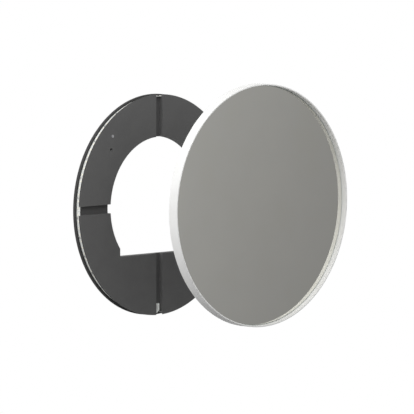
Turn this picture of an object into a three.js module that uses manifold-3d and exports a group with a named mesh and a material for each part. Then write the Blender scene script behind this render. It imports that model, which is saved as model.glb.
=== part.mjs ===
// Round backlit wall mirror in two units that pull apart along their common axis:
// a slotted back plate that hangs on the wall and carries the light tape round its rim,
// and a framed mirror that pegs on in front of it.
//
// Millimetres, +Z up. The wall is the plane y = 0 and the room is towards -Y.
// The back plate is centred on the Y axis. The mirror unit is drawn pulled off the plate.

import * as THREE from 'three';
import { mergeVertices } from 'three/addons/utils/BufferGeometryUtils.js';
import Module from 'manifold-3d';

const wasm = await Module();
wasm.setup();

// ---------------------------------------------------------------- driving dimensions

const FIT_GAP = 0.3; // left between neighbours that touch

// Mirror unit
const FRAME_R = 300;
const FRAME_WALL = 3.4;
const FRAME_DEPTH = 27.3;
const FRAME_CHAMFER = 0.6;
const GLASS_RECESS = 14.4; // front rim to glass
const GLASS_T = 4;
const GLASS_EDGE_GAP = 0.6;
const BACKING_R = 294;
const BACKING_T = 3;
const BUMPER_T = 1.5;
const BUMPER_R = 10;
const BUMPER_CIRCLE_R = 250;
const BUMPER_COUNT = 4;

// How far the mirror unit is drawn off its seat
const PULL_OFF = 340;
const LIFT = 20;

// Back plate
const PLATE_R = 274.5;
const PLATE_T = 22;
const LIP_T = 2.4; // in front of the rim groove
const GROOVE_W = 12.2;
const GROOVE_R = 268.8;
const OPENING_X = 3.7; // the opening's round is centred this far right of the plate's centre
const OPENING_R = 169;
const OPENING_HALF_W = 135.3; // of its square lower part
const OPENING_FLOOR_Z = -121.3;
const CHANNEL_W = 22;
const CHANNEL_DEPTH = 10.5;
const UPRIGHT_CHANNEL_X = 6; // the 12 and 6 o'clock channels run beside the centre line

// Light tape
const TAPE_T = 0.5;
const TAPE_W = 11.6;
const TAPE_R = 269.5; // middle of its thickness
const TAIL_X = 3.6; // the tail stands in the 6 o'clock channel
const TAIL_TOP_Z = -246;
const TAIL_BEND_R = 8.3;
const TAIL_LEAN_RUN = 8; // in from the rim, over which the tail comes forward
const TAIL_RAMP = 10; // run of the eased corner where the tail turns into its channel
const TAPE_END_X = 18; // the other end stops short of the channel

// Pegs that carry the mirror unit, and their holes
const PEG_X = 162.8;
const PEG_Z = 146.5;
const PEG_R = 3;
const PEG_NOSE_R = 2;
const PEG_NOSE_L = 3;
const PEG_L = 18;
const PEG_FLANGE_R = 12;
const PEG_HOLE_R = 4;
const PEG_HOLE_DEPTH = 17;

// Keyhole hangers let into the back of the plate
const HANGER_L = 70;
const HANGER_W = 22;
const HANGER_T = 3;
const HANGER_SETBACK = 0.4; // below the plate's back face
const BOLT_X = 156.8;
const HANGER_Z = 179.5;
const BOLT_INSET = 9; // bolt to the hanger's outer end
const BOLT_R = 2;
const BOLT_HEAD_R = 3.8;
const BOLT_HEAD_T = 2.2;
const BOLT_L = 20;
const WOOD_SCREW_INSET = 9;
const WOOD_SCREW_R = 1.75;
const WOOD_SCREW_HEAD_R = 3.4;
const WOOD_SCREW_L = 14;
const KEYHOLE_R = 5;
const KEYHOLE_SLOT_R = 2.5;
const KEYHOLE_RISE = 7;
const RELIEF_W = 18;
const RELIEF_H = 20;
const RELIEF_DEPTH = 11;

// Tabs welded inside the frame behind the backing board
const TAB_COUNT = 8;
const TAB_W = 18;
const TAB_T = 1.5;
const TAB_OUTER_R = 296;
const TAB_REACH = 14;
const TAB_SCREW_R = 1.5;
const TAB_SCREW_HEAD_R = 2.8;
const TAB_SCREW_HEAD_T = 1.8;
const TAB_SCREW_CIRCLE_R = 288;
const SCREW_HOLE_CLEARANCE = 0.3;

// Facets
const BIG_ROUND = 96;
const SMALL_ROUND = 20;

// ---------------------------------------------------------------- worked out from them

const PLATE_FRONT_Y = -PLATE_T;
const GROOVE_FRONT_Y = PLATE_FRONT_Y + LIP_T;
const GROOVE_BACK_Y = GROOVE_FRONT_Y + GROOVE_W;
const CHANNEL_FLOOR_Y = PLATE_FRONT_Y + CHANNEL_DEPTH;
const TAPE_FRONT_Y = GROOVE_FRONT_Y + (GROOVE_W - TAPE_W) / 2;
const TAIL_FRONT_Y = CHANNEL_FLOOR_Y - FIT_GAP - TAPE_W; // stands slightly proud of the face

// The mirror unit's stack, front to back, as it is drawn
const BUMPER_BACK_Y = PLATE_FRONT_Y - FIT_GAP - PULL_OFF;
const BUMPER_FRONT_Y = BUMPER_BACK_Y - BUMPER_T;
const BACKING_BACK_Y = BUMPER_FRONT_Y - FIT_GAP;
const BACKING_FRONT_Y = BACKING_BACK_Y - BACKING_T;
const GLASS_BACK_Y = BACKING_FRONT_Y - FIT_GAP;
const GLASS_FRONT_Y = GLASS_BACK_Y - GLASS_T;
const FRAME_FRONT_Y = GLASS_FRONT_Y - GLASS_RECESS;
const FRAME_BACK_Y = FRAME_FRONT_Y + FRAME_DEPTH;
const FRAME_INNER_R = FRAME_R - FRAME_WALL;

const HANGER_BACK_Y = -HANGER_SETBACK;
const HANGER_FRONT_Y = HANGER_BACK_Y - HANGER_T;
const HANGER_MID_X = BOLT_X + BOLT_INSET - HANGER_L / 2;
const WOOD_SCREW_X = HANGER_MID_X - HANGER_L / 2 + WOOD_SCREW_INSET;

const SIDES = { left: -1, right: 1 };

// ---------------------------------------------------------------- geometry helpers

// Faces of a closed triangle mesh turned outwards.
function facingOut(geometry) {
  const merged = geometry.index ? geometry : mergeVertices(geometry);
  const p = merged.attributes.position;
  const index = merged.index.array;
  const a = new THREE.Vector3();
  const b = new THREE.Vector3();
  const c = new THREE.Vector3();
  let volume = 0;
  for (let i = 0; i < index.length; i += 3) {
    a.fromBufferAttribute(p, index[i]);
    b.fromBufferAttribute(p, index[i + 1]);
    c.fromBufferAttribute(p, index[i + 2]);
    volume += a.dot(b.cross(c));
  }
  if (volume < 0) {
    for (let i = 0; i < index.length; i += 3) {
      [index[i], index[i + 1]] = [index[i + 1], index[i]];
    }
  }
  return merged;
}

// Positions only, with shared vertices merged and flat triangles dropped.
function closed(geometry) {
  const bare = geometry.clone();
  bare.deleteAttribute('normal');
  bare.deleteAttribute('uv');
  const merged = mergeVertices(bare, 1e-4);
  const index = merged.index.array;
  const kept = [];
  for (let i = 0; i < index.length; i += 3) {
    const [a, b, c] = [index[i], index[i + 1], index[i + 2]];
    if (a !== b && b !== c && c !== a) kept.push(a, b, c);
  }
  merged.setIndex(kept);
  return facingOut(merged);
}

function toManifold(geometry) {
  const g = closed(geometry);
  return new wasm.Manifold(new wasm.Mesh({
    numProp: 3,
    vertProperties: new Float32Array(g.attributes.position.array),
    triVerts: new Uint32Array(g.index.array),
  }));
}

function fromManifold(manifold) {
  const mesh = manifold.getMesh();
  const g = new THREE.BufferGeometry();
  g.setAttribute('position', new THREE.BufferAttribute(new Float32Array(mesh.vertProperties), 3));
  g.setIndex(Array.from(mesh.triVerts));
  return g;
}

// The first geometry less all the others.
function cut(geometry, cutters) {
  let result = toManifold(geometry);
  for (const cutter of cutters) result = result.subtract(toManifold(cutter));
  return fromManifold(result);
}

// The first geometry with all the others joined on.
function join(geometry, additions) {
  let result = toManifold(geometry);
  for (const addition of additions) result = result.add(toManifold(addition));
  return fromManifold(result);
}

// A turned body about the Y axis from [radius, y] points.
function turned(points, segments) {
  const profile = points.map(([r, y]) => new THREE.Vector2(r, y));
  return closed(new THREE.LatheGeometry(profile, segments));
}

// A plain round bar along Y between two depths.
function bar(radius, fromY, toY, segments = SMALL_ROUND) {
  return turned([[0, fromY], [radius, fromY], [radius, toY], [0, toY]], segments);
}

// An outline in X and Z, thickened along Y from frontY to backY.
function slab(shape, frontY, backY, curveSegments = SMALL_ROUND) {
  const depth = backY - frontY;
  const g = new THREE.ExtrudeGeometry(shape, { depth, bevelEnabled: false, curveSegments });
  g.rotateX(Math.PI / 2);
  g.translate(0, backY, 0);
  return closed(g);
}

// A box given by its middle and size.
function block([x, y, z], [w, d, h]) {
  return closed(new THREE.BoxGeometry(w, d, h).translate(x, y, z));
}

// An outline of [y, z] points, thickened along X.
function rib(points, fromX, toX) {
  const shape = new THREE.Shape(points.map(([y, z]) => new THREE.Vector2(y, z)));
  const g = new THREE.ExtrudeGeometry(shape, { depth: toX - fromX, bevelEnabled: false });
  g.rotateX(Math.PI / 2).rotateZ(Math.PI / 2).translate(fromX, 0, 0);
  return closed(g);
}

function moved(geometry, x, y, z) {
  return geometry.clone().translate(x, y, z);
}

// Turned about the Y axis, clockwise from 12 o'clock as seen from the room.
function clocked(geometry, angle) {
  return geometry.clone().rotateY(angle);
}

// ---------------------------------------------------------------- back plate

// Round opening whose lower part is squared out to a flat floor.
function openingShape() {
  const drop = Math.sqrt(OPENING_R ** 2 - OPENING_HALF_W ** 2);
  const startAngle = Math.atan2(-drop, OPENING_HALF_W);
  const shape = new THREE.Shape();
  shape.moveTo(OPENING_X - OPENING_HALF_W, OPENING_FLOOR_Z);
  shape.lineTo(OPENING_X + OPENING_HALF_W, OPENING_FLOOR_Z);
  shape.absarc(OPENING_X, 0, OPENING_R, startAngle, Math.PI - startAngle, false);
  shape.closePath();
  return shape;
}

function channelCutters() {
  const overshoot = 4;
  const depth = CHANNEL_DEPTH + overshoot;
  const y = CHANNEL_FLOOR_Y - depth / 2;
  const inner = OPENING_R * 0.6;
  const run = PLATE_R + overshoot - inner;
  const middle = inner + run / 2;
  return [
    block([UPRIGHT_CHANNEL_X, y, middle], [CHANNEL_W, depth, run]),
    block([UPRIGHT_CHANNEL_X, y, -middle], [CHANNEL_W, depth, run]),
    block([middle, y, 0], [run, depth, CHANNEL_W]),
    block([-middle, y, 0], [run, depth, CHANNEL_W]),
  ];
}

// Ramp from the floor of the 6 o'clock channel down to the rim groove, for the tape's tail.
function tailRamp() {
  const foot = 1 - GROOVE_R;
  const beyond = 2;
  return rib([
    [CHANNEL_FLOOR_Y, foot + TAIL_RAMP],
    [GROOVE_BACK_Y, foot],
    [GROOVE_BACK_Y, foot - beyond],
    [CHANNEL_FLOOR_Y - beyond, foot - beyond],
    [CHANNEL_FLOOR_Y - beyond, foot + TAIL_RAMP],
  ], UPRIGHT_CHANNEL_X - CHANNEL_W / 2, UPRIGHT_CHANNEL_X + CHANNEL_W / 2);
}

// Countersunk bolt hole from the front.
function boltHole() {
  const r = BOLT_R + SCREW_HOLE_CLEARANCE;
  const headR = BOLT_HEAD_R + SCREW_HOLE_CLEARANCE;
  const neckY = PLATE_FRONT_Y + BOLT_HEAD_T + SCREW_HOLE_CLEARANCE;
  const beyond = 1;
  return turned([
    [0, PLATE_FRONT_Y - beyond],
    [headR, PLATE_FRONT_Y - beyond],
    [headR, PLATE_FRONT_Y],
    [r, neckY],
    [r, beyond],
    [0, beyond],
  ], SMALL_ROUND);
}

function hangerCutters(side) {
  const pocketDepth = HANGER_T + HANGER_SETBACK + FIT_GAP;
  const beyond = 1;
  const pocketSize = [HANGER_L + 2 * FIT_GAP, pocketDepth + beyond, HANGER_W + 2 * FIT_GAP];
  const pocketY = (beyond - pocketDepth) / 2;
  const pilotR = WOOD_SCREW_R + SCREW_HOLE_CLEARANCE;
  const pilotEnd = -WOOD_SCREW_L - 1;
  return [
    block([side * HANGER_MID_X, pocketY, HANGER_Z], pocketSize),
    block([side * HANGER_MID_X, -RELIEF_DEPTH / 2, HANGER_Z], [RELIEF_W, RELIEF_DEPTH, RELIEF_H]),
    moved(boltHole(), side * BOLT_X, 0, HANGER_Z),
    moved(bar(pilotR, pilotEnd, 0), side * WOOD_SCREW_X, 0, HANGER_Z),
  ];
}

function pegHole(side) {
  const beyond = 1;
  const hole = bar(PEG_HOLE_R, PLATE_FRONT_Y - beyond, PLATE_FRONT_Y + PEG_HOLE_DEPTH);
  return moved(hole, side * PEG_X, 0, PEG_Z);
}

function backPlate() {
  const disc = turned([
    [0, 0],
    [PLATE_R, 0],
    [PLATE_R, GROOVE_BACK_Y],
    [GROOVE_R, GROOVE_BACK_Y],
    [GROOVE_R, GROOVE_FRONT_Y],
    [PLATE_R, GROOVE_FRONT_Y],
    [PLATE_R, PLATE_FRONT_Y],
    [0, PLATE_FRONT_Y],
  ], BIG_ROUND);
  const overshoot = 2;
  const cutters = [
    slab(openingShape(), PLATE_FRONT_Y - overshoot, overshoot, BIG_ROUND / 2),
    ...channelCutters(),
    tailRamp(),
  ];
  for (const side of Object.values(SIDES)) {
    cutters.push(pegHole(side), ...hangerCutters(side));
  }
  return cut(disc, cutters);
}

// ---------------------------------------------------------------- hangers and their screws

function hanger(side) {
  const shape = new THREE.Shape();
  const [halfL, halfW, corner] = [HANGER_L / 2, HANGER_W / 2, 3];
  shape.moveTo(-halfL + corner, -halfW);
  shape.absarc(halfL - corner, -halfW + corner, corner, -Math.PI / 2, 0, false);
  shape.absarc(halfL - corner, halfW - corner, corner, 0, Math.PI / 2, false);
  shape.absarc(-halfL + corner, halfW - corner, corner, Math.PI / 2, Math.PI, false);
  shape.absarc(-halfL + corner, -halfW + corner, corner, Math.PI, 1.5 * Math.PI, false);
  const plate = slab(shape, HANGER_FRONT_Y, HANGER_BACK_Y, 4);
  const [from, to] = [HANGER_FRONT_Y - 1, HANGER_BACK_Y + 1];
  const slotY = (from + to) / 2;
  const holes = [
    bar(KEYHOLE_R, from, to),
    block([0, slotY, KEYHOLE_RISE / 2], [2 * KEYHOLE_SLOT_R, to - from, KEYHOLE_RISE]),
    moved(bar(KEYHOLE_SLOT_R, from, to), 0, 0, KEYHOLE_RISE),
    moved(bar(BOLT_R + SCREW_HOLE_CLEARANCE, from, to), side * (BOLT_X - HANGER_MID_X), 0, 0),
    moved(countersink(HANGER_BACK_Y), side * (WOOD_SCREW_X - HANGER_MID_X), 0, 0),
  ];
  return moved(cut(plate, holes), side * HANGER_MID_X, 0, HANGER_Z);
}

// Countersunk hole in the hanger for its wood screw, opening towards the wall.
function countersink(faceY) {
  const r = WOOD_SCREW_R + SCREW_HOLE_CLEARANCE;
  const headR = WOOD_SCREW_HEAD_R + SCREW_HOLE_CLEARANCE;
  const neckY = faceY - (headR - r);
  return turned([
    [0, faceY - HANGER_T - 1],
    [r, faceY - HANGER_T - 1],
    [r, neckY],
    [headR, faceY],
    [headR, faceY + 1],
    [0, faceY + 1],
  ], SMALL_ROUND);
}

function hangerBolt(side) {
  const bolt = turned([
    [0, PLATE_FRONT_Y],
    [BOLT_HEAD_R, PLATE_FRONT_Y],
    [BOLT_R, PLATE_FRONT_Y + BOLT_HEAD_T],
    [BOLT_R, PLATE_FRONT_Y + BOLT_L],
    [0, PLATE_FRONT_Y + BOLT_L],
  ], SMALL_ROUND);
  return moved(bolt, side * BOLT_X, 0, HANGER_Z);
}

function hangerScrew(side) {
  const headT = WOOD_SCREW_HEAD_R - WOOD_SCREW_R;
  const pointL = 4;
  const screw = turned([
    [0, HANGER_BACK_Y],
    [WOOD_SCREW_HEAD_R, HANGER_BACK_Y],
    [WOOD_SCREW_R, HANGER_BACK_Y - headT],
    [WOOD_SCREW_R, HANGER_BACK_Y - WOOD_SCREW_L + pointL],
    [0, HANGER_BACK_Y - WOOD_SCREW_L],
  ], SMALL_ROUND);
  return moved(screw, side * WOOD_SCREW_X, 0, HANGER_Z);
}

// ---------------------------------------------------------------- light tape

// Middle of the tail's bend: tangent to the tape's circle and to the tail's upright line.
function bendCentre() {
  const x = TAIL_X - TAIL_BEND_R;
  const z = -Math.sqrt((TAPE_R - TAIL_BEND_R) ** 2 - x ** 2);
  return { x, z, angle: Math.atan2(z, x) };
}

function arcPoints(centre, radius, fromAngle, toAngle, steps) {
  const points = [];
  for (let i = 0; i <= steps; i++) {
    const angle = THREE.MathUtils.lerp(fromAngle, toAngle, i / steps);
    const x = centre.x + radius * Math.cos(angle);
    const z = centre.z + radius * Math.sin(angle);
    points.push(new THREE.Vector2(x, z));
  }
  return points;
}

// Down the 6 o'clock channel and clockwise round the rim to the channel's far side.
function tapeLine() {
  const bend = bendCentre();
  const endAngle = -Math.acos(TAPE_END_X / TAPE_R) - 2 * Math.PI;
  const leanEndZ = TAIL_RAMP + 2 - TAPE_R;
  return [
    new THREE.Vector2(TAIL_X, TAIL_TOP_Z),
    new THREE.Vector2(TAIL_X, leanEndZ),
    ...arcPoints(bend, TAIL_BEND_R, 0, bend.angle, 8),
    ...arcPoints({ x: 0, z: 0 }, TAPE_R, bend.angle, endAngle, 110).slice(1),
  ];
}

// The line's points moved sideways by a distance, square to the line.
function offsetLine(line, distance) {
  return line.map((point, i) => {
    const before = line[Math.max(i - 1, 0)];
    const after = line[Math.min(i + 1, line.length - 1)];
    const along = after.clone().sub(before).normalize();
    return new THREE.Vector2(point.x - along.y * distance, point.y + along.x * distance);
  });
}

// Moves the tail forward as it leaves the rim, so that it clears the channel's floor.
function leanTail(tape) {
  const p = tape.attributes.position;
  const fullLean = TAIL_FRONT_Y - TAPE_FRONT_Y;
  for (let i = 0; i < p.count; i++) {
    const inFromRim = TAPE_R - Math.hypot(p.getX(i), p.getZ(i));
    const lean = fullLean * THREE.MathUtils.clamp(inFromRim / TAIL_LEAN_RUN, 0, 1);
    p.setY(i, p.getY(i) + lean);
  }
  return tape;
}

function ledTape() {
  const line = tapeLine();
  const outer = offsetLine(line, TAPE_T / 2);
  const inner = offsetLine(line, -TAPE_T / 2).reverse();
  const shape = new THREE.Shape([...outer, ...inner]);
  return leanTail(slab(shape, TAPE_FRONT_Y, TAPE_FRONT_Y + TAPE_W));
}

// ---------------------------------------------------------------- mirror unit
// Everything here is centred on its own axis and lifted as one by the group's position.

function frameRing() {
  const c = FRAME_CHAMFER;
  return turned([
    [FRAME_INNER_R, FRAME_FRONT_Y],
    [FRAME_R - c, FRAME_FRONT_Y],
    [FRAME_R, FRAME_FRONT_Y + c],
    [FRAME_R, FRAME_BACK_Y],
    [FRAME_INNER_R, FRAME_BACK_Y],
    [FRAME_INNER_R, FRAME_FRONT_Y],
  ], BIG_ROUND);
}

function mirrorGlass() {
  const r = FRAME_INNER_R - GLASS_EDGE_GAP;
  return bar(r, GLASS_FRONT_Y, GLASS_BACK_Y, BIG_ROUND);
}

// Angles of the tabs: clear of the 12, 3, 6 and 9 o'clock lines.
function tabAngle(i) {
  return ((i + 0.5) * 2 * Math.PI) / TAB_COUNT;
}

function backingBoard() {
  const board = bar(BACKING_R, BACKING_FRONT_Y, BACKING_BACK_Y, BIG_ROUND);
  const [from, to] = [BACKING_FRONT_Y - 1, BACKING_BACK_Y + 1];
  const screwHole = bar(TAB_SCREW_R + SCREW_HOLE_CLEARANCE, from, to);
  const flangeHole = bar(PEG_FLANGE_R + 2 * FIT_GAP, from, to);
  const holes = [];
  for (let i = 0; i < TAB_COUNT; i++) {
    holes.push(clocked(moved(screwHole, 0, 0, TAB_SCREW_CIRCLE_R), tabAngle(i)));
  }
  for (const side of Object.values(SIDES)) holes.push(moved(flangeHole, side * PEG_X, 0, PEG_Z));
  return cut(board, holes);
}

// One welded angle tab: a foot on the frame's wall and a tongue behind the backing board.
function frameTab(i) {
  const tongueFrontY = BACKING_BACK_Y + FIT_GAP;
  const tongueBackY = tongueFrontY + TAB_T;
  const footBackY = FRAME_BACK_Y - 0.4;
  const innerR = TAB_OUTER_R - TAB_REACH;
  const tongueMid = [0, (tongueFrontY + tongueBackY) / 2, (innerR + TAB_OUTER_R) / 2];
  const footMid = [0, (tongueFrontY + footBackY) / 2, TAB_OUTER_R - TAB_T / 2];
  const tongue = block(tongueMid, [TAB_W, TAB_T, TAB_REACH]);
  const foot = block(footMid, [TAB_W, footBackY - tongueFrontY, TAB_T]);
  const hole = moved(
    bar(TAB_SCREW_R + SCREW_HOLE_CLEARANCE, tongueFrontY - 1, tongueBackY + 1),
    0,
    0,
    TAB_SCREW_CIRCLE_R,
  );
  return clocked(cut(join(tongue, [foot]), [hole]), tabAngle(i));
}

function tabScrew(i) {
  const seatY = BACKING_BACK_Y + FIT_GAP + TAB_T + FIT_GAP;
  const headY = seatY + TAB_SCREW_HEAD_T;
  const tipY = BACKING_FRONT_Y + FIT_GAP;
  const screw = turned([
    [0, tipY],
    [TAB_SCREW_R, tipY],
    [TAB_SCREW_R, seatY],
    [TAB_SCREW_HEAD_R, seatY],
    [TAB_SCREW_HEAD_R, headY - 0.6],
    [TAB_SCREW_HEAD_R - 0.8, headY],
    [0, headY],
  ], 16);
  return clocked(moved(screw, 0, 0, TAB_SCREW_CIRCLE_R), tabAngle(i));
}

// A peg on a round flange that is bonded to the glass through the backing board.
function supportPeg(side) {
  const flangeBackY = BACKING_BACK_Y - FIT_GAP;
  const tipY = flangeBackY + PEG_L;
  const peg = turned([
    [0, BACKING_FRONT_Y],
    [PEG_FLANGE_R, BACKING_FRONT_Y],
    [PEG_FLANGE_R, flangeBackY],
    [PEG_R, flangeBackY],
    [PEG_R, tipY - PEG_NOSE_L],
    [PEG_NOSE_R, tipY],
    [0, tipY],
  ], SMALL_ROUND);
  return moved(peg, side * PEG_X, 0, PEG_Z);
}

function rubberBumper(i) {
  const bumper = moved(bar(BUMPER_R, BUMPER_FRONT_Y, BUMPER_BACK_Y), 0, 0, BUMPER_CIRCLE_R);
  return clocked(bumper, ((i + 0.5) * 2 * Math.PI) / BUMPER_COUNT);
}

// ---------------------------------------------------------------- materials and assembly

function finish(color, roughness, metalness) {
  return new THREE.MeshStandardMaterial({ color, roughness, metalness });
}

const darkBoard = finish(0x4f4f4f, 0.8, 0);
const tapeWhite = finish(0xe9e8de, 0.5, 0);
const zinc = finish(0xb9bcc0, 0.35, 1);
const steel = finish(0xa6a9ad, 0.4, 1);
const whitePaint = finish(0xf1f1ef, 0.5, 0);
const silvered = finish(0xc4c5bf, 0.02, 1);
const greyBoard = finish(0x6f6f6c, 0.85, 0);
const rubber = finish(0x2b2b2b, 0.8, 0);

function named(name, geometry, material) {
  const mesh = new THREE.Mesh(geometry, material);
  mesh.name = name;
  return mesh;
}

const plateUnit = new THREE.Group();
plateUnit.add(
  named('back_plate', backPlate(), darkBoard),
  named('led_tape', ledTape(), tapeWhite),
);

const mirrorUnit = new THREE.Group();
mirrorUnit.position.z = LIFT;
mirrorUnit.add(
  named('frame_ring', frameRing(), whitePaint),
  named('mirror_glass', mirrorGlass(), silvered),
  named('backing_board', backingBoard(), greyBoard),
);

for (const [name, side] of Object.entries(SIDES)) {
  plateUnit.add(
    named(`hanger_${name}`, hanger(side), zinc),
    named(`hanger_bolt_${name}`, hangerBolt(side), zinc),
    named(`hanger_screw_${name}`, hangerScrew(side), zinc),
  );
  mirrorUnit.add(named(`peg_${name}`, supportPeg(side), steel));
}
for (let i = 0; i < TAB_COUNT; i++) {
  mirrorUnit.add(
    named(`frame_tab_${i + 1}`, frameTab(i), whitePaint),
    named(`tab_screw_${i + 1}`, tabScrew(i), zinc),
  );
}
for (let i = 0; i < BUMPER_COUNT; i++) {
  mirrorUnit.add(named(`rubber_bumper_${i + 1}`, rubberBumper(i), rubber));
}

const mirror = new THREE.Group();
mirror.add(plateUnit, mirrorUnit);

export default mirror;
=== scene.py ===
# Round backlit wall mirror, its two units drawn apart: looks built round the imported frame.
# Sizes are in millimetres until a mesh is made. The wall is y = 0 and the room is towards -y.
import math

import bmesh
import bpy
from mathutils import Matrix, Vector


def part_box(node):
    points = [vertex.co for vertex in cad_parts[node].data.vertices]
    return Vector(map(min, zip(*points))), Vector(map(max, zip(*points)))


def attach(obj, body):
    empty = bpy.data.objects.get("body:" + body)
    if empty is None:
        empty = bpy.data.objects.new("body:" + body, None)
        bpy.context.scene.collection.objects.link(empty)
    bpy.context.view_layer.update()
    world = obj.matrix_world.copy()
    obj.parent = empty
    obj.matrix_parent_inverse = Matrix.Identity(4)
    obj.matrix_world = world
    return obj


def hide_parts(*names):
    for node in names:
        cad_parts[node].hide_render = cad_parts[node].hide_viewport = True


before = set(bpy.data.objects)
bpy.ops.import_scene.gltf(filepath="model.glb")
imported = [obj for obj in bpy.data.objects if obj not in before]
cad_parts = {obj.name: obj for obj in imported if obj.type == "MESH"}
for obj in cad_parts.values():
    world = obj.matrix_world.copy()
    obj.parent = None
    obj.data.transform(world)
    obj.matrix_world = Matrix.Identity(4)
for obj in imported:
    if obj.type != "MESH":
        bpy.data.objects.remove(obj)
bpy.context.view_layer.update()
scene = bpy.context.scene

MM = 0.001
PLATE_BODY = "plate_unit"
MIRROR_BODY = "mirror_unit"
SIDES = {"left": -1, "right": 1}


def depth(node):
    """Front and back of a CAD node along y, in mm."""
    low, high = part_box(node)
    return low[1] / MM, high[1] / MM


def middle(node):
    low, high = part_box(node)
    return (Vector(low) + Vector(high)) / 2 / MM


# ------------------------------------------------------------------ sizes

FIT_GAP = 0.3
PLATE_R = 274.5
LIP_T = 2.4
GROOVE_W = 12.2
GROOVE_R = 268.8
OPENING_X = 3.7
OPENING_R = 169
OPENING_HALF_W = 135.3
OPENING_FLOOR = -121.3
CHANNEL_W = 22
CHANNEL_DEPTH = 10.5
UPRIGHT_X = 6
PEG_HOLE_R = 4
PEG_HOLE_DEPTH = 17
BOLT_R = 2
BOLT_HEAD_R = 3.8
BOLT_HEAD_T = 2.2
HOLE_GAP = 0.3
PILOT_R = 2.05
PILOT_DEPTH = 15
KEYHOLE_R = 5
KEYHOLE_SLOT_R = 2.5
KEYHOLE_RISE = 7
HANGER = (70, 3, 22)
HANGER_INSET = 0.4
POCKET_GAP = 0.3
RELIEF = (18, 11, 20)
TAPE_R = 269.5
TAPE_T = 0.5
TAPE_W = 11.6
TAIL_X = 3.6
TAIL_TOP = -246
TAIL_BEND_R = 8.3
TAIL_LEAN_RUN = 8
TAIL_RAMP = 10
TAPE_END_X = 18
CHIP_PITCH = 16.7
CHIP_T = 1.0
TAB_SCREW_R = 288
TAB_COUNT = 8
TAB_W = 18
TAB_T = 1.5
TAB_SCREW_HOLE_R = 1.8
FRAME_R = 300.0
FRAME_INNER_R = 296.6
GLASS_R = 296.0
BACKING_R = 294
PEG_R = 3
PEG_FLANGE_R = 12
PEG_FLANGE_HOLE_R = 12.6
BUMPER_COUNT = 4
BUMPER_R = 10
BUMPER_ROUND = 0.6

PLATE_FRONT = depth("back_plate")[0]
GROOVE_FRONT = PLATE_FRONT + LIP_T
GROOVE_BACK = GROOVE_FRONT + GROOVE_W
CHANNEL_FLOOR = PLATE_FRONT + CHANNEL_DEPTH
TAPE_FRONT = GROOVE_FRONT + FIT_GAP
PEG_HOLE = Vector((middle("peg_right").x, 0, middle("peg_right").z - middle("frame_ring").z))
BOLT = middle("hanger_bolt_right")
AXIS_Z = middle("frame_ring").z

BEYOND = 1
FINE_ROUND = 256
SMALL_ROUND = 48


# ------------------------------------------------------------------ mesh helpers

def finished(name, bm, body, mats, replaced=(), bevel=0.0, smooth=35):
    """Object from a bmesh in mm, riding on a body, with softened edges."""
    bmesh.ops.recalc_face_normals(bm, faces=bm.faces)
    bmesh.ops.scale(bm, vec=(MM, MM, MM), verts=bm.verts)
    mesh = bpy.data.meshes.new(name)
    bm.to_mesh(mesh)
    bm.free()
    obj = bpy.data.objects.new(name, mesh)
    scene.collection.objects.link(obj)
    for mat in mats if isinstance(mats, (list, tuple)) else [mats]:
        mesh.materials.append(mat)
    if bevel:
        soften(obj, bevel)
    shade(obj, smooth)
    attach(obj, body)
    if replaced:
        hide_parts(*replaced)
    return obj


def apply_modifiers(obj):
    graph = bpy.context.evaluated_depsgraph_get()
    mesh = bpy.data.meshes.new_from_object(obj.evaluated_get(graph))
    obj.modifiers.clear()
    obj.data = mesh


def soften(obj, width, segments=2):
    bevel = obj.modifiers.new("edges", "BEVEL")
    bevel.width = width * MM
    bevel.segments = segments
    bevel.limit_method = "ANGLE"
    bevel.angle_limit = math.radians(32)
    apply_modifiers(obj)


def shade(obj, angle):
    """Smooth shading that stays flat on flat faces and breaks at edges sharper than angle."""
    obj.data.polygons.foreach_set("use_smooth", [True] * len(obj.data.polygons))
    obj.data.set_sharp_from_angle(angle=math.radians(angle))
    weighted = obj.modifiers.new("normals", "WEIGHTED_NORMAL")
    weighted.keep_sharp = True
    weighted.weight = 100
    apply_modifiers(obj)


def carved(bm, cutters):
    """The bmesh less each of the cutter bmeshes, in mm."""
    objects = []
    for part in [bm, *cutters]:
        bmesh.ops.recalc_face_normals(part, faces=part.faces)
        mesh = bpy.data.meshes.new("work")
        part.to_mesh(mesh)
        part.free()
        obj = bpy.data.objects.new("work", mesh)
        scene.collection.objects.link(obj)
        objects.append(obj)
    target, *others = objects
    for other in others:
        cut = target.modifiers.new("cut", "BOOLEAN")
        cut.operation = "DIFFERENCE"
        cut.solver = "EXACT"
        cut.object = other
    apply_modifiers(target)
    out = bmesh.new()
    out.from_mesh(target.data)
    for obj in objects:
        bpy.data.objects.remove(obj)
    bmesh.ops.remove_doubles(out, verts=out.verts, dist=0.002)
    return out


def lathe(profile, segments=SMALL_ROUND, at=(0, 0, 0), ring=False):
    """Turned body about y from (radius, y) points. ring joins the last point to the first."""
    bm = bmesh.new()
    rows = []
    for r, y in profile:
        if r == 0:
            rows.append([bm.verts.new((0, y, 0))] * segments)
            continue
        row = []
        for i in range(segments):
            a = 2 * math.pi * i / segments
            row.append(bm.verts.new((r * math.cos(a), y, r * math.sin(a))))
        rows.append(row)
    pairs = list(zip(rows, rows[1:]))
    if ring:
        pairs.append((rows[-1], rows[0]))
    for low, high in pairs:
        for i in range(segments):
            j = (i + 1) % segments
            corners = []
            for v in (low[i], low[j], high[j], high[i]):
                if v not in corners:
                    corners.append(v)
            if len(corners) > 2:
                bm.faces.new(corners)
    bmesh.ops.translate(bm, vec=at, verts=bm.verts)
    return bm


def prism(outline, front, back):
    """(x, z) outline thickened along y."""
    bm = bmesh.new()
    near = [bm.verts.new((x, front, z)) for x, z in outline]
    far = [bm.verts.new((x, back, z)) for x, z in outline]
    bm.faces.new(near)
    bm.faces.new(far)
    for i in range(len(outline)):
        j = (i + 1) % len(outline)
        bm.faces.new((near[i], near[j], far[j], far[i]))
    return bm


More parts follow.
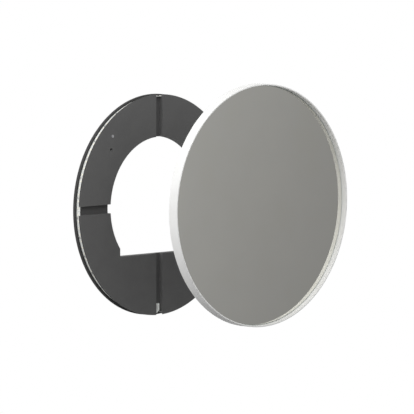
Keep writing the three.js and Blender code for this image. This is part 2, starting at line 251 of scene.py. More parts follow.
def rib(outline, left, right):
    """(y, z) outline thickened along x."""
    bm = bmesh.new()
    ends = [[bm.verts.new((x, y, z)) for y, z in outline] for x in (left, right)]
    for end in ends:
        bm.faces.new(end)
    for i in range(len(outline)):
        j = (i + 1) % len(outline)
        bm.faces.new((ends[0][i], ends[0][j], ends[1][j], ends[1][i]))
    return bm


def bore(radius, front, back):
    """Profile of a straight cutter that comes out on both sides."""
    return [(0, front - BEYOND), (radius, front - BEYOND), (radius, back + BEYOND), (0, back + BEYOND)]


def tab_angle(i):
    return math.radians(360 / TAB_COUNT * (i + 0.5))


def box(centre, size):
    bm = bmesh.new()
    bmesh.ops.create_cube(bm, size=1)
    bmesh.ops.scale(bm, vec=size, verts=bm.verts)
    bmesh.ops.translate(bm, vec=centre, verts=bm.verts)
    return bm


def joined(parts):
    """Several bmeshes as one, without merging them."""
    out = bmesh.new()
    for part in parts:
        mesh = bpy.data.meshes.new("work")
        part.to_mesh(mesh)
        part.free()
        out.from_mesh(mesh)
        bpy.data.meshes.remove(mesh)
    return out


def clocked(bm, angle, lift=0.0):
    """Turned clockwise about y as seen from the room, then lifted."""
    bmesh.ops.rotate(bm, matrix=Matrix.Rotation(angle, 3, "Y"), verts=bm.verts)
    bmesh.ops.translate(bm, vec=(0, 0, lift), verts=bm.verts)
    return bm


def corner(cx, cy, r, start, end, steps=4):
    """Points of a rounded profile corner, in degrees."""
    points = []
    for i in range(steps + 1):
        a = math.radians(start + (end - start) * i / steps)
        points.append((cx + r * math.cos(a), cy + r * math.sin(a)))
    return points


def cross_recess(centre_y, facing, width, thick, deep):
    """Cutter for a cross drive slot in a screw head; facing is the way the head faces along y."""
    blades = []
    for w, h in ((width, thick), (thick, width)):
        bm = bmesh.new()
        bmesh.ops.create_cube(bm, size=1)
        for v in bm.verts:
            inner = v.co.y * facing < 0
            v.co.x *= w * (0.45 if inner else 1)
            v.co.z *= h * (0.45 if inner else 1)
            v.co.y = centre_y + (-facing * deep if inner else facing * 0.5)
        blades.append(bm)
    return blades


# ------------------------------------------------------------------ materials

class Finish:
    """A procedural material; helpers add nodes fed by the piece's own coordinates."""

    def __init__(self, name, color, roughness, metallic=0.0, **sockets):
        self.mat = bpy.data.materials.new(name)
        self.mat.use_nodes = True
        self.tree = self.mat.node_tree
        self.shader = self.tree.nodes["Principled BSDF"]
        self.coords = self.tree.nodes.new("ShaderNodeTexCoord").outputs["Object"]
        self.shader.inputs["Base Color"].default_value = (*color, 1)
        self.shader.inputs["Roughness"].default_value = roughness
        self.shader.inputs["Metallic"].default_value = metallic
        for socket, value in sockets.items():
            self.shader.inputs[socket.replace("_", " ")].default_value = value
        self.mat.diffuse_color = (*color, 1)
        self.bumps = None

    def link(self, a, b):
        self.tree.links.new(a, b)

    def noise(self, size, detail=3.0, stretch=(1, 1, 1), rough=0.55):
        """Noise whose features are about size mm across; stretch lengthens them along an axis."""
        mapping = self.tree.nodes.new("ShaderNodeMapping")
        mapping.inputs["Scale"].default_value = tuple(1 / s for s in stretch)
        self.link(self.coords, mapping.inputs["Vector"])
        noise = self.tree.nodes.new("ShaderNodeTexNoise")
        noise.inputs["Scale"].default_value = 1 / (size * MM)
        noise.inputs["Detail"].default_value = detail
        noise.inputs["Roughness"].default_value = rough
        self.link(mapping.outputs["Vector"], noise.inputs["Vector"])
        return noise.outputs["Fac"]

    def cells(self, size):
        cells = self.tree.nodes.new("ShaderNodeTexVoronoi")
        cells.inputs["Scale"].default_value = 1 / (size * MM)
        self.link(self.coords, cells.inputs["Vector"])
        return cells.outputs["Distance"]

    def ramp(self, value, low, high, start=0.35, end=0.65):
        """Maps a 0 to 1 pattern onto low to high between start and end."""
        node = self.tree.nodes.new("ShaderNodeMapRange")
        node.inputs["From Min"].default_value = start
        node.inputs["From Max"].default_value = end
        node.inputs["To Min"].default_value = low
        node.inputs["To Max"].default_value = high
        self.link(value, node.inputs["Value"])
        return node.outputs["Result"]

    def color(self, socket):
        self.link(socket, self.shader.inputs["Base Color"])

    def roughness(self, socket):
        self.link(socket, self.shader.inputs["Roughness"])

    def bump(self, height, distance, strength=0.6):
        """Adds relief of the given depth in mm on top of what is there."""
        node = self.tree.nodes.new("ShaderNodeBump")
        node.inputs["Distance"].default_value = distance * MM
        node.inputs["Strength"].default_value = strength
        self.link(height, node.inputs["Height"])
        if self.bumps is not None:
            self.link(self.bumps, node.inputs["Normal"])
        self.bumps = node.outputs["Normal"]
        self.link(self.bumps, self.shader.inputs["Normal"])


def mix_rgba(finish, factor, a, b):
    """Colour mix whose sockets are picked by position, as the mix node has one set per type."""
    node = finish.tree.nodes.new("ShaderNodeMix")
    node.data_type = "RGBA"
    finish.link(factor, node.inputs[0])
    for value, socket in ((a, node.inputs[6]), (b, node.inputs[7])):
        if isinstance(value, tuple):
            socket.default_value = (*value, 1)
        else:
            finish.link(value, socket)
    return node.outputs[2]


def make_board():
    f = Finish("board", (0.14, 0.14, 0.14), 0.75, Specular_IOR_Level=0.3)
    fibre = f.noise(0.9, 5, (1, 1, 1), 0.6)
    cloud = f.noise(38, 3)
    fleck = f.ramp(f.noise(0.45, 2), 0, 1, 0.66, 0.8)
    base = mix_rgba(f, f.ramp(cloud, 0, 1), (0.126, 0.126, 0.126), (0.138, 0.138, 0.1375))
    grain = mix_rgba(f, f.ramp(fibre, 0, 0.55, 0.3, 0.7), base, (0.178, 0.178, 0.1765))
    f.color(mix_rgba(f, fleck, grain, (0.26, 0.26, 0.253)))
    f.roughness(f.ramp(fibre, 0.66, 0.86))
    f.bump(fibre, 0.09, 0.6)
    return f.mat


def make_rim_painted_shade():
    # A darker copy of the board for the outer rim and the groove: partly the raw cut edge's own darker tone,
    # mostly painted shade on faces that turn away from the light or sit in the groove.
    f = Finish("board_rim_painted_shade", (0.046, 0.046, 0.046), 0.7, Specular_IOR_Level=0.3)
    fibre = f.noise(0.7, 4, (1, 1, 1), 0.6)
    f.color(mix_rgba(f, f.ramp(fibre, 0, 1, 0.3, 0.7), (0.038, 0.038, 0.038), (0.055, 0.055, 0.0545)))
    f.roughness(f.ramp(fibre, 0.62, 0.82))
    f.bump(fibre, 0.08, 0.5)
    return f.mat


def make_routed_painted_shade():
    """The channels' floors: routing passes, and darker than the face as painted shade in the recessed
    channels.
    """
    f = Finish("board_routed_painted_shade", (0.1, 0.1, 0.1), 0.8, Specular_IOR_Level=0.25)
    fibre = f.noise(0.7, 4, (1, 1, 1), 0.6)
    passes = f.noise(2.4, 2, (1, 1, 5), 0.5)
    base = mix_rgba(f, f.ramp(passes, 0, 1), (0.094, 0.094, 0.094), (0.106, 0.106, 0.1055))
    f.color(mix_rgba(f, f.ramp(fibre, 0, 0.55, 0.3, 0.7), base, (0.132, 0.132, 0.131)))
    f.roughness(f.ramp(fibre, 0.7, 0.88))
    f.bump(fibre, 0.08, 0.6)
    f.bump(passes, 0.05, 0.5)
    return f.mat


def make_tape_painted_glow():
    # The board glows faintly: a painted glow standing in for light falling on it, as the board itself is no
    # lamp; only its chips are.
    f = Finish("tape", (0.71, 0.72, 0.7), 0.4, Emission_Color=(0.97, 1, 0.96, 1), Emission_Strength=0.16)
    patch = f.noise(14, 3)
    f.color(mix_rgba(f, f.ramp(patch, 0, 1), (0.67, 0.68, 0.66), (0.74, 0.75, 0.73)))
    f.roughness(f.ramp(patch, 0.32, 0.48))
    f.bump(f.noise(1.2, 2), 0.02, 0.4)
    return f.mat


def make_phosphor():
    f = Finish("phosphor", (0.9, 0.87, 0.7), 0.35, Emission_Color=(1, 0.99, 0.92, 1), Emission_Strength=0.16)
    grain = f.noise(0.25, 2)
    f.color(mix_rgba(f, f.ramp(grain, 0, 1), (0.88, 0.83, 0.62), (0.93, 0.9, 0.76)))
    f.bump(grain, 0.01, 0.3)
    return f.mat


def make_chip():
    f = Finish("chip_body", (0.83, 0.82, 0.78), 0.4)
    f.color(mix_rgba(f, f.ramp(f.noise(2, 2), 0, 1), (0.8, 0.79, 0.74), (0.86, 0.85, 0.82)))
    return f.mat


def make_resistor():
    f = Finish("resistor", (0.03, 0.03, 0.032), 0.35)
    f.color(mix_rgba(f, f.ramp(f.noise(0.8, 2), 0, 1), (0.025, 0.025, 0.027), (0.045, 0.045, 0.048)))
    return f.mat


def make_solder():
    f = Finish("solder", (0.7, 0.69, 0.66), 0.35, 1)
    f.color(mix_rgba(f, f.ramp(f.noise(1.5, 3), 0, 1), (0.66, 0.63, 0.58), (0.76, 0.76, 0.75)))
    f.bump(f.noise(0.7, 2), 0.05, 0.5)
    return f.mat


def make_zinc(name, metallic):
    f = Finish(name, (0.66, 0.67, 0.69), 0.42, metallic)
    spangle = f.cells(3.2)
    brushed = f.noise(0.5, 3, (14, 1, 1))
    f.color(mix_rgba(f, f.ramp(spangle, 0, 1, 0.1, 0.8), (0.6, 0.61, 0.64), (0.73, 0.73, 0.73)))
    f.roughness(f.ramp(brushed, 0.36, 0.5))
    f.bump(brushed, 0.012, 0.5)
    return f.mat


def make_steel():
    f = Finish("turned_steel", (0.5, 0.5, 0.52), 0.3, 1)
    rings = f.noise(0.22, 2, (60, 1, 60))
    f.color(mix_rgba(f, f.ramp(f.noise(5, 3), 0, 1), (0.46, 0.46, 0.48), (0.56, 0.56, 0.57)))
    f.roughness(f.ramp(rings, 0.22, 0.42))
    f.bump(rings, 0.015, 0.6)
    return f.mat


def make_powder_coat():
    f = Finish("powder_coat", (0.86, 0.86, 0.85), 0.42, Coat_Weight=0.15, Coat_Roughness=0.3)
    peel = f.noise(2.2, 2)
    cloud = f.noise(60, 2)
    f.color(mix_rgba(f, f.ramp(cloud, 0, 1), (0.85, 0.85, 0.835), (0.88, 0.88, 0.87)))
    f.roughness(f.ramp(peel, 0.38, 0.5))
    f.bump(peel, 0.012, 0.35)
    return f.mat


def make_mirror():
    f = Finish("silvered_glass", (0.84, 0.83, 0.77), 0.015, 1, Coat_Weight=0.4, Coat_Roughness=0.01)
    haze = f.noise(120, 4)
    f.color(mix_rgba(f, f.ramp(haze, 0, 1), (0.835, 0.825, 0.765), (0.855, 0.845, 0.785)))
    f.roughness(f.ramp(haze, 0.008, 0.03))
    return f.mat


def make_glass_edge():
    f = Finish("glass_edge", (0.26, 0.33, 0.3), 0.15, 0.2)
    f.color(mix_rgba(f, f.ramp(f.noise(3, 3), 0, 1), (0.22, 0.28, 0.255), (0.32, 0.39, 0.36)))
    f.bump(f.noise(0.6, 2, (1, 1, 1)), 0.02, 0.4)
    return f.mat


def make_backing():
    f = Finish("backing", (0.16, 0.16, 0.155), 0.82, Specular_IOR_Level=0.3)
    fibre = f.noise(1.1, 5, (1, 1, 1), 0.65)
    strand = f.noise(0.6, 3, (9, 1, 1))
    base = mix_rgba(f, f.ramp(f.noise(45, 3), 0, 1), (0.145, 0.145, 0.14), (0.175, 0.175, 0.17))
    f.color(mix_rgba(f, f.ramp(strand, 0, 0.5, 0.5, 0.75), base, (0.24, 0.235, 0.22)))
    f.roughness(f.ramp(fibre, 0.72, 0.9))
    f.bump(fibre, 0.09, 0.6)
    return f.mat


def make_rubber():
    f = Finish("rubber", (0.028, 0.028, 0.03), 0.6)
    speck = f.noise(0.5, 3)
    f.color(mix_rgba(f, f.ramp(speck, 0, 1), (0.022, 0.022, 0.023), (0.04, 0.04, 0.042)))
    f.roughness(f.ramp(speck, 0.5, 0.72))
    f.bump(speck, 0.04, 0.5)
    return f.mat


BOARD = make_board()
RIM_PAINTED_SHADE = make_rim_painted_shade()
ROUTED_PAINTED_SHADE = make_routed_painted_shade()
TAPE_PAINTED_GLOW = make_tape_painted_glow()
PHOSPHOR = make_phosphor()
CHIP = make_chip()
RESISTOR = make_resistor()
SOLDER = make_solder()
ZINC = make_zinc("zinc", 1)
ZINC_DULL = make_zinc("zinc_dull", 0.45)
STEEL = make_steel()
POWDER_COAT = make_powder_coat()
MIRROR = make_mirror()
GLASS_EDGE = make_glass_edge()
BACKING = make_backing()
RUBBER = make_rubber()


# ------------------------------------------------------------------ back plate

def opening_outline(steps=150):
    start = math.atan2(-math.sqrt(OPENING_R**2 - OPENING_HALF_W**2), OPENING_HALF_W)
    points = [(OPENING_X - OPENING_HALF_W, OPENING_FLOOR), (OPENING_X + OPENING_HALF_W, OPENING_FLOOR)]
    for i in range(steps + 1):
        a = start + (math.pi - 2 * start) * i / steps
        points.append((OPENING_X + OPENING_R * math.cos(a), OPENING_R * math.sin(a)))
    return points


def channel_cutters():
    run = PLATE_R + 4 - OPENING_R * 0.6
    mid = OPENING_R * 0.6 + run / 2
    front = PLATE_FRONT - 4
    y, d = (front + CHANNEL_FLOOR) / 2, CHANNEL_FLOOR - front
    return [
        box((UPRIGHT_X, y, mid), (CHANNEL_W, d, run)),
        box((UPRIGHT_X, y, -mid), (CHANNEL_W, d, run)),
        box((mid, y, 0), (run, d, CHANNEL_W)),
        box((-mid, y, 0), (run, d, CHANNEL_W)),
    ]


def tail_ramp():
    foot = 1 - GROOVE_R
    outline = [
        (CHANNEL_FLOOR, foot + TAIL_RAMP),
        (GROOVE_BACK, foot),
        (GROOVE_BACK, foot - 2),
        (CHANNEL_FLOOR - 2, foot - 2),
        (CHANNEL_FLOOR - 2, foot + TAIL_RAMP),
    ]
    return rib(outline, UPRIGHT_X - CHANNEL_W / 2, UPRIGHT_X + CHANNEL_W / 2)


def hardware_cutters(side):
    mid = middle("hanger_right")
    screw = middle("hanger_screw_right")
    pocket = HANGER[1] + HANGER_INSET + POCKET_GAP
    bolt = BOLT_R + HOLE_GAP
    head = BOLT_HEAD_R + HOLE_GAP
    neck = PLATE_FRONT + BOLT_HEAD_T + HOLE_GAP
    above = PLATE_FRONT - BEYOND
    countersunk = [(0, above), (head, above), (head, PLATE_FRONT), (bolt, neck), (bolt, BEYOND), (0, BEYOND)]
    peg_end = PLATE_FRONT + PEG_HOLE_DEPTH
    peg = [(0, above), (PEG_HOLE_R, above), (PEG_HOLE_R, peg_end), (0, peg_end + 1.5)]
    pilot = [(0, -PILOT_DEPTH), (PILOT_R, -PILOT_DEPTH), (PILOT_R, 0), (0, 0)]
    return [
        box((side * mid.x, (BEYOND - pocket) / 2, mid.z),
            (HANGER[0] + 2 * POCKET_GAP, pocket + BEYOND, HANGER[2] + 2 * POCKET_GAP)),
        box((side * mid.x, -RELIEF[1] / 2, mid.z), RELIEF),
        lathe(countersunk, at=(side * BOLT.x, 0, BOLT.z)),
        lathe(peg, at=(side * PEG_HOLE.x, 0, PEG_HOLE.z)),
        lathe(pilot, at=(side * screw.x, 0, screw.z)),
    ]


def make_back_plate():
    disc = lathe([
        (0, 0), (PLATE_R, 0), (PLATE_R, GROOVE_BACK), (GROOVE_R, GROOVE_BACK),
        (GROOVE_R, GROOVE_FRONT), (PLATE_R, GROOVE_FRONT), (PLATE_R, PLATE_FRONT), (0, PLATE_FRONT),
    ], FINE_ROUND)
    cutters = [prism(opening_outline(), PLATE_FRONT - 2, 2), *channel_cutters(), tail_ramp()]
    for side in SIDES.values():
        cutters += hardware_cutters(side)
    plate = finished("plate", carved(disc, cutters), PLATE_BODY, [BOARD, RIM_PAINTED_SHADE, ROUTED_PAINTED_SHADE],
                     ["back_plate"], bevel=0.45)
    for face in plate.data.polygons:
        centre = face.center / MM
        on_face = centre.y < PLATE_FRONT + 0.05 or centre.y > -0.05
        # Outer rim and groove faces take the darker copy: painted shade, with some of the raw edge's own
        # darker tone.
        if math.hypot(centre.x, centre.z) > GROOVE_R - 0.3 and not on_face:
            face.material_index = 1
        # Channel floors take the darker routed finish: painted shade in the recess.
        elif abs(centre.y - CHANNEL_FLOOR) < 0.05:
            face.material_index = 2


# ------------------------------------------------------------------ light tape

def bend_centre():
    cx = TAIL_X - TAIL_BEND_R
    cz = -math.sqrt((TAPE_R - TAIL_BEND_R) ** 2 - cx**2)
    return cx, cz, math.atan2(cz, cx)


def tape_end():
    return -math.acos(TAPE_END_X / TAPE_R) - 2 * math.pi


def arc(cx, cz, radius, start, end, steps):
    points = []
    for i in range(steps + 1):
        a = start + (end - start) * i / steps
        points.append(Vector((cx + radius * math.cos(a), cz + radius * math.sin(a))))
    return points


def tape_line():
    """Middle of the tape in (x, z): down its channel, then clockwise round the rim."""
    x, z, angle = bend_centre()
    line = [Vector((TAIL_X, h)) for h in (TAIL_TOP, TAIL_TOP - 6, TAIL_RAMP + 2 - TAPE_R)]
    line += arc(x, z, TAIL_BEND_R, 0, angle, 20)
    line += arc(0, 0, TAPE_R, angle, tape_end(), 420)[1:]
    return line


def lean(x, z):
    """How far forward the tape stands at a point: the tail clears the channel's floor."""
    full = CHANNEL_FLOOR - FIT_GAP - TAPE_W - TAPE_FRONT
    return full * min(max((TAPE_R - math.hypot(x, z)) / TAIL_LEAN_RUN, 0), 1)


def swept_strip(line, thick, front, width):
    """Ribbon whose thickness is centred on the line."""
    bm = bmesh.new()
    rows = []
    for i, p in enumerate(line):
        before, after = line[max(i - 1, 0)], line[min(i + 1, len(line) - 1)]
        along = (after - before).normalized()
        out = Vector((-along.y, along.x))
        row = []
        for side in (-thick / 2, thick / 2):
            q = p + out * side
            shift = lean(p.x, p.y)
            row.append(bm.verts.new((q.x, front + shift, q.y)))
            row.append(bm.verts.new((q.x, front + width + shift, q.y)))
        rows.append(row)
    for a, b in zip(rows, rows[1:]):
        for i, j in ((0, 1), (1, 3), (3, 2), (2, 0)):
            bm.faces.new((a[i], a[j], b[j], b[i]))
    for row in (rows[0], rows[-1]):
        bm.faces.new((row[0], row[1], row[3], row[2]))
    return bm


def on_rim(bm, angle, radius):
    """Takes a small part built at the origin, +x outwards, to its place on the rim."""
    bmesh.ops.translate(bm, vec=(radius, TAPE_FRONT + TAPE_W / 2, 0), verts=bm.verts)
    bmesh.ops.rotate(bm, matrix=Matrix.Rotation(-angle, 3, "Y"), verts=bm.verts)
    return bm


def make_tape_parts():
    line = tape_line()
    strip = swept_strip(line, TAPE_T, TAPE_FRONT, TAPE_W)
    finished("tape_strip", strip, PLATE_BODY, TAPE_PAINTED_GLOW, ["led_tape"])
    face = TAPE_R + TAPE_T / 2
    start, end = bend_centre()[2], tape_end()
    count = int((start - end) * TAPE_R / CHIP_PITCH)
    bodies, lenses, resistors, pads = [], [], [], []
    for i in range(count):
        a = start + (end - start) * (i + 0.5) / count
        shell = box((CHIP_T / 2, 0, 0), (CHIP_T, 5, 5))
        bodies.append(on_rim(shell, a, face))
        lens = lathe([(0, 0), (1.9, 0), (1.85, 0.08), (1.2, 0.14), (0, 0.17)], 20)
        bmesh.ops.rotate(lens, matrix=Matrix.Rotation(math.radians(-90), 3, "Z"), verts=lens.verts)
        lenses.append(on_rim(lens, a, face + CHIP_T))
        half = a + (end - start) / count / 2
        if i % 3 == 2 and i < count - 1:
            for y in (-3.6, -1.2, 1.2, 3.6):
                pads.append(on_rim(box((0.06, y, 0), (0.12, 1.7, 4.6)), half, face))
        else:
            resistors.append(on_rim(box((0.25, -2.6, 0), (0.5, 1.3, 2.1)), half, face))
    finished("light_chips", joined(bodies), PLATE_BODY, CHIP, bevel=0.12)
    finished("light_lenses", joined(lenses), PLATE_BODY, PHOSPHOR)
    finished("tape_resistors", joined(resistors), PLATE_BODY, RESISTOR, bevel=0.08)
    finished("solder_pads", joined(pads), PLATE_BODY, SOLDER)


# ------------------------------------------------------------------ hangers and their screws

def rounded_rect(w, h, r, steps=6):
    points = []
    for cx, cz, start in ((w / 2 - r, -h / 2 + r, -90), (w / 2 - r, h / 2 - r, 0),
                          (-w / 2 + r, h / 2 - r, 90), (-w / 2 + r, -h / 2 + r, 180)):
        points += corner(cx, cz, r, start, start + 90, steps)
    return points


def make_hangers():
    for name, side in SIDES.items():
        node = f"hanger_{name}"
        front, back = depth(node)
        mid = middle(node)
        screw = middle(f"hanger_screw_{name}")
        bolt_x = side * BOLT.x - mid.x
        plate = prism(rounded_rect(HANGER[0], HANGER[2], 3), front, back)
        sink = [(0, front - BEYOND), (PILOT_R, front - BEYOND), (PILOT_R, back - 1.65), (3.7, back),
                (3.7, back + BEYOND), (0, back + BEYOND)]
        slot = box((0, (front + back) / 2, KEYHOLE_RISE / 2), (2 * KEYHOLE_SLOT_R, 6, KEYHOLE_RISE))
        cutters = [
            lathe(bore(KEYHOLE_R, front, back)),
            lathe(bore(KEYHOLE_SLOT_R, front, back), at=(0, 0, KEYHOLE_RISE)),
            slot,
            lathe(bore(BOLT_R + HOLE_GAP, front, back), at=(bolt_x, 0, 0)),
            lathe(sink, at=(screw.x - mid.x, 0, 0)),
        ]
        bm = carved(plate, cutters)
        bmesh.ops.translate(bm, vec=(mid.x, 0, mid.z), verts=bm.verts)
        finished(f"keyhole_{name}", bm, PLATE_BODY, ZINC, [node], bevel=0.3)


def make_hanger_bolts():
    for name, side in SIDES.items():
        node = f"hanger_bolt_{name}"
        front, back = depth(node)
        body = lathe([
            (0, front), (BOLT_HEAD_R - 0.25, front), (BOLT_HEAD_R, front + 0.25),
            (BOLT_R, front + BOLT_HEAD_T),
            *thread(BOLT_R, 0.28, 0.7, front + 6, back - 0.6), (BOLT_R - 0.5, back), (0, back),
        ])
        bm = carved(body, cross_recess(front, -1, 4.2, 0.9, 1.5))
        bmesh.ops.translate(bm, vec=(side * BOLT.x, 0, BOLT.z), verts=bm.verts)
        finished(f"bolt_{name}", bm, PLATE_BODY, ZINC_DULL, [node])


def thread(radius, cut, pitch, start, end):
    """Profile points of ring-cut threads between two depths."""
    points = []
    step = pitch if end > start else -pitch
    for i in range(int(abs(end - start) / pitch)):
        y = start + i * step
        points += [(radius, y), (radius - cut, y + step / 2)]
    points.append((radius, start + int(abs(end - start) / pitch) * step))
    return points


def make_hanger_screws():
    for name, side in SIDES.items():
        node = f"hanger_screw_{name}"
        front, back = depth(node)
        mid = middle(node)
        body = lathe([
            (0, back), (3.2, back), (3.4, back - 0.2), (1.75, back - 1.65),
            *thread(1.75, 0.4, 1.1, back - 2.5, front + 4), (0, front),
        ])
        bm = carved(body, cross_recess(back, 1, 3.6, 0.85, 1.2))
        bmesh.ops.translate(bm, vec=(mid.x, 0, mid.z), verts=bm.verts)
        finished(f"wood_screw_{name}", bm, PLATE_BODY, ZINC, [node])


# ------------------------------------------------------------------ mirror unit

def make_frame():
    front, back = depth("frame_ring")
    outer, inner = FRAME_R, FRAME_INNER_R
    profile = corner(outer - 0.9, front + 0.9, 0.9, -90, 0, 5)
    profile += corner(outer - 0.5, back - 0.5, 0.5, 0, 90, 3)
    profile += corner(inner + 0.4, back - 0.4, 0.4, 90, 180, 3)
    profile += corner(inner + 0.8, front + 0.8, 0.8, 180, 270, 5)
    bm = lathe(profile, 384, at=(0, 0, AXIS_Z), ring=True)
    finished("frame", bm, MIRROR_BODY, POWDER_COAT, ["frame_ring"], smooth=40)


def make_glass():
    front, back = depth("mirror_glass")
    r = GLASS_R
    bm = lathe([(0, front), (r - 1.2, front), (r - 1.0, front + 0.05), (r, front + 1.0), (r, back - 0.6),
                (r - 0.6, back), (0, back)], 384, at=(0, 0, AXIS_Z))
    mats = [MIRROR, GLASS_EDGE, BACKING]
    obj = finished("glass", bm, MIRROR_BODY, mats, ["mirror_glass"], smooth=30)
    for face in obj.data.polygons:
        centre = face.center / MM
        radius = math.hypot(centre.x, centre.z - AXIS_Z)
        if radius > r - 1.1:
            face.material_index = 1
        elif centre.y > (front + back) / 2:
            face.material_index = 2


def make_backing_board():
    front, back = depth("backing_board")
    disc = lathe([(0, front), (BACKING_R, front), (BACKING_R, back), (0, back)], 320)
    cutters = []
    for i in range(TAB_COUNT):
        hole = lathe(bore(TAB_SCREW_HOLE_R, front, back), 24, at=(0, 0, TAB_SCREW_R))
        cutters.append(clocked(hole, tab_angle(i)))
    for side in SIDES.values():
        hole = bore(PEG_FLANGE_HOLE_R, front, back)
        cutters.append(lathe(hole, 64, at=(side * PEG_HOLE.x, 0, PEG_HOLE.z)))
    bm = carved(disc, cutters)
    bmesh.ops.translate(bm, vec=(0, 0, AXIS_Z), verts=bm.verts)
    finished("backing", bm, MIRROR_BODY, BACKING, ["backing_board"], bevel=0.3)


def tab_shape():
    """Bent angle tab at 12 o'clock: tongue behind the backing, foot on the frame's wall."""
    tongue_front = depth("backing_board")[1] + FIT_GAP
    foot_back = depth("frame_ring")[1] - 0.4
    t, outer, inner, bend = TAB_T, 296.0, 282.0, 0.4
    outline = [(inner, tongue_front)]
    outline += corner(outer - bend - t, tongue_front + bend + t, bend + t, -90, 0, 6)
    outline += [(outer, foot_back), (outer - t, foot_back)]
    outline += corner(outer - bend - t, tongue_front + bend + t, bend, 0, -90, 4)
    outline += [(inner, tongue_front + t)]
    bm = rib([(y, z) for z, y in outline], -TAB_W / 2, TAB_W / 2)
    hole = bore(TAB_SCREW_HOLE_R, tongue_front, tongue_front + t)
    return carved(bm, [lathe(hole, 24, at=(0, 0, TAB_SCREW_R))])


def make_tabs():
    for i in range(TAB_COUNT):
        bm = clocked(tab_shape(), tab_angle(i), AXIS_Z)
        node = f"frame_tab_{i + 1}"
        finished(f"tab_{i + 1}", bm, MIRROR_BODY, POWDER_COAT, [node], bevel=0.15)


def make_tab_screws():
    for i in range(TAB_COUNT):
        node = f"tab_screw_{i + 1}"
        tip, top = depth(node)
        seat = top - 1.8
        head = corner(2.8 - 1.1, seat + 0.7, 1.1, 0, 90, 5)
        shaft = thread(1.5, 0.25, 0.8, tip + 0.8, seat)
        body = lathe([
            (0, tip), (1.1, tip), *shaft, (1.5, seat), (2.7, seat), (2.8, seat + 0.15), *head, (0, top),
        ], 32)
        bm = carved(body, cross_recess(top, 1, 2.9, 0.7, 1.1))
        bmesh.ops.translate(bm, vec=(0, 0, TAB_SCREW_R), verts=bm.verts)
        clocked(bm, tab_angle(i), AXIS_Z)
        finished(f"backing_screw_{i + 1}", bm, MIRROR_BODY, ZINC, [node])


def make_pegs():
    for name, side in SIDES.items():
        node = f"peg_{name}"
        front, tip = depth(node)
        flange = depth("backing_board")[1] - 0.3
        rim = PEG_FLANGE_R
        profile = [
            (0, front), (rim, front), (rim, flange - 0.5), (rim - 0.5, flange), (4.1, flange),
            (3.35, flange + 0.3),
            (PEG_R, flange + 1), (PEG_R, tip - 3), (2.7, tip - 2.2), (2.0, tip - 0.3), (1.6, tip), (0, tip),
        ]
        bm = lathe(profile, 64, at=(side * PEG_HOLE.x, 0, AXIS_Z + PEG_HOLE.z))
        finished(f"support_{node}", bm, MIRROR_BODY, STEEL, [node], smooth=25)


def make_bumpers():
    for i in range(BUMPER_COUNT):
        node = f"rubber_bumper_{i + 1}"
        front, back = depth(node)
        mid = middle(node)
        edge = corner(BUMPER_R - BUMPER_ROUND, back - BUMPER_ROUND, BUMPER_ROUND, 0, 90, 4)
        profile = [
            (0, front), (BUMPER_R, front), (BUMPER_R, back - BUMPER_ROUND), *edge,
            (8.2, back), (7.8, back - 0.25), (2.2, back - 0.25), (1.8, back), (0, back),
        ]
        bm = lathe(profile, 64, at=(mid.x, 0, mid.z))
        finished(f"bumper_{i + 1}", bm, MIRROR_BODY, RUBBER, [node])


make_back_plate()
make_tape_parts()
make_hangers()
make_hanger_bolts()
make_hanger_screws()
make_frame()
make_glass()
make_backing_board()
make_tabs()
make_tab_screws()
make_pegs()
make_bumpers()


# ------------------------------------------------------------------ camera, floor, light

# From far off through a long lens, which leaves hardly any perspective.
# The place is in metres, the lens in mm and the angles in degrees.
CAMERA_PLACE = (-25.7093, -25.5522, 3.1788)
CAMERA_LENS = 1275.2
CAMERA_DOWN = 5.0230
CAMERA_TURN = 45.3934

FLOOR_HALF = 300
FLOOR_Z = -1.2
DOME_R = 3

# The dome's lights: degrees round from the front towards the left, degrees up,
# degrees out from its middle at which it has faded away, and strength at its middle.
DOME_LIGHTS = {
    "key, high on the left": (90, 50, 60, 1.45),
    "back left, level": (150, -10, 60, 1.3),
    "front left fill": (30, 20, 80, 0.5),
    "front fill": (0, 15, 90, 0.4),
    "top front": (0, 65, 60, 0.25),
    "back right rim": (-135, 5, 75, 0.8),
}


def add_camera():
    data = bpy.data.cameras.new("camera")
    data.sensor_width = 36
    data.lens = CAMERA_LENS
    data.clip_start = 1
    data.clip_end = 400
    cam = bpy.data.objects.new("camera", data)
    cam.location = CAMERA_PLACE
    cam.rotation_euler = (math.radians(90 - CAMERA_DOWN), 0, math.radians(-CAMERA_TURN))
    scene.collection.objects.link(cam)
    scene.camera = cam


def staged_mesh(name, bm, mat):
    mesh = bpy.data.meshes.new(name)
    bm.to_mesh(mesh)
    bm.free()
    mesh.materials.append(mat)
    obj = bpy.data.objects.new(name, mesh)
    scene.collection.objects.link(obj)
    return obj


def add_floor():
    """Pale floor well below the object. It doesn't light the object; the dome does."""
    mat = bpy.data.materials.new("floor")
    mat.use_nodes = True
    shader = mat.node_tree.nodes["Principled BSDF"]
    shader.inputs["Base Color"].default_value = (0, 0, 0, 1)
    shader.inputs["Roughness"].default_value = 0.9
    shader.inputs["Specular IOR Level"].default_value = 0
    shader.inputs["Emission Color"].default_value = (1, 1, 1, 1)
    shader.inputs["Emission Strength"].default_value = 1.0
    bm = bmesh.new()
    corners = [(x * FLOOR_HALF, y * FLOOR_HALF, FLOOR_Z) for x, y in ((-1, -1), (1, -1), (1, 1), (-1, 1))]
    bm.faces.new([bm.verts.new(p) for p in corners])
    floor = staged_mesh("floor", bm, mat)
    floor.visible_diffuse = False
    floor.visible_glossy = False


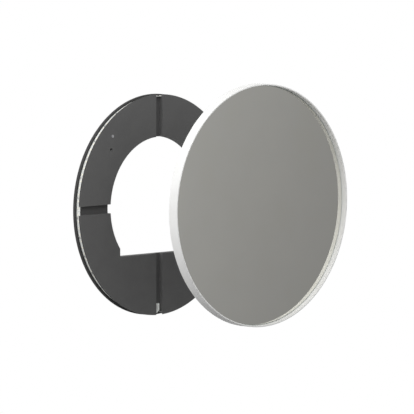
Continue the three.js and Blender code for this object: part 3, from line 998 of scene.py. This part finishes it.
def add_dome():
    """Soft studio light: a dome that is the sum of the lights in DOME_LIGHTS."""
    mat = bpy.data.materials.new("dome")
    mat.use_nodes = True
    tree = mat.node_tree
    tree.nodes.remove(tree.nodes["Principled BSDF"])
    emit = tree.nodes.new("ShaderNodeEmission")
    tree.links.new(emit.outputs["Emission"], tree.nodes["Material Output"].inputs["Surface"])
    coords = tree.nodes.new("ShaderNodeTexCoord")
    unit = tree.nodes.new("ShaderNodeVectorMath")
    unit.operation = "NORMALIZE"
    tree.links.new(coords.outputs["Object"], unit.inputs[0])
    total = None
    for round_left, up, reach, strength in DOME_LIGHTS.values():
        level = math.cos(math.radians(up))
        aside = math.radians(round_left)
        direction = (-level * math.sin(aside), -level * math.cos(aside), math.sin(math.radians(up)))
        dot = tree.nodes.new("ShaderNodeVectorMath")
        dot.operation = "DOT_PRODUCT"
        dot.inputs[1].default_value = direction
        tree.links.new(unit.outputs[0], dot.inputs[0])
        ramp = tree.nodes.new("ShaderNodeMapRange")
        ramp.interpolation_type = "SMOOTHSTEP"
        ramp.inputs["From Min"].default_value = math.cos(math.radians(reach))
        ramp.inputs["To Max"].default_value = strength
        tree.links.new(dot.outputs["Value"], ramp.inputs["Value"])
        if total is None:
            total = ramp.outputs["Result"]
            continue
        add = tree.nodes.new("ShaderNodeMath")
        tree.links.new(total, add.inputs[0])
        tree.links.new(ramp.outputs["Result"], add.inputs[1])
        total = add.outputs[0]
    tree.links.new(total, emit.inputs["Strength"])
    bm = bmesh.new()
    bmesh.ops.create_icosphere(bm, subdivisions=4, radius=DOME_R)
    dome = staged_mesh("dome", bm, mat)
    dome.location = (0, -0.2, 0)
    dome.visible_camera = False
    dome.visible_shadow = False


def add_world():
    world = bpy.data.worlds.new("studio")
    world.use_nodes = True
    background = world.node_tree.nodes["Background"]
    background.inputs["Color"].default_value = (1, 1, 1, 1)
    background.inputs["Strength"].default_value = 1.0
    scene.world = world


add_camera()
add_floor()
add_dome()
add_world()

scene.view_settings.view_transform = "Standard"
scene.view_settings.look = "None"
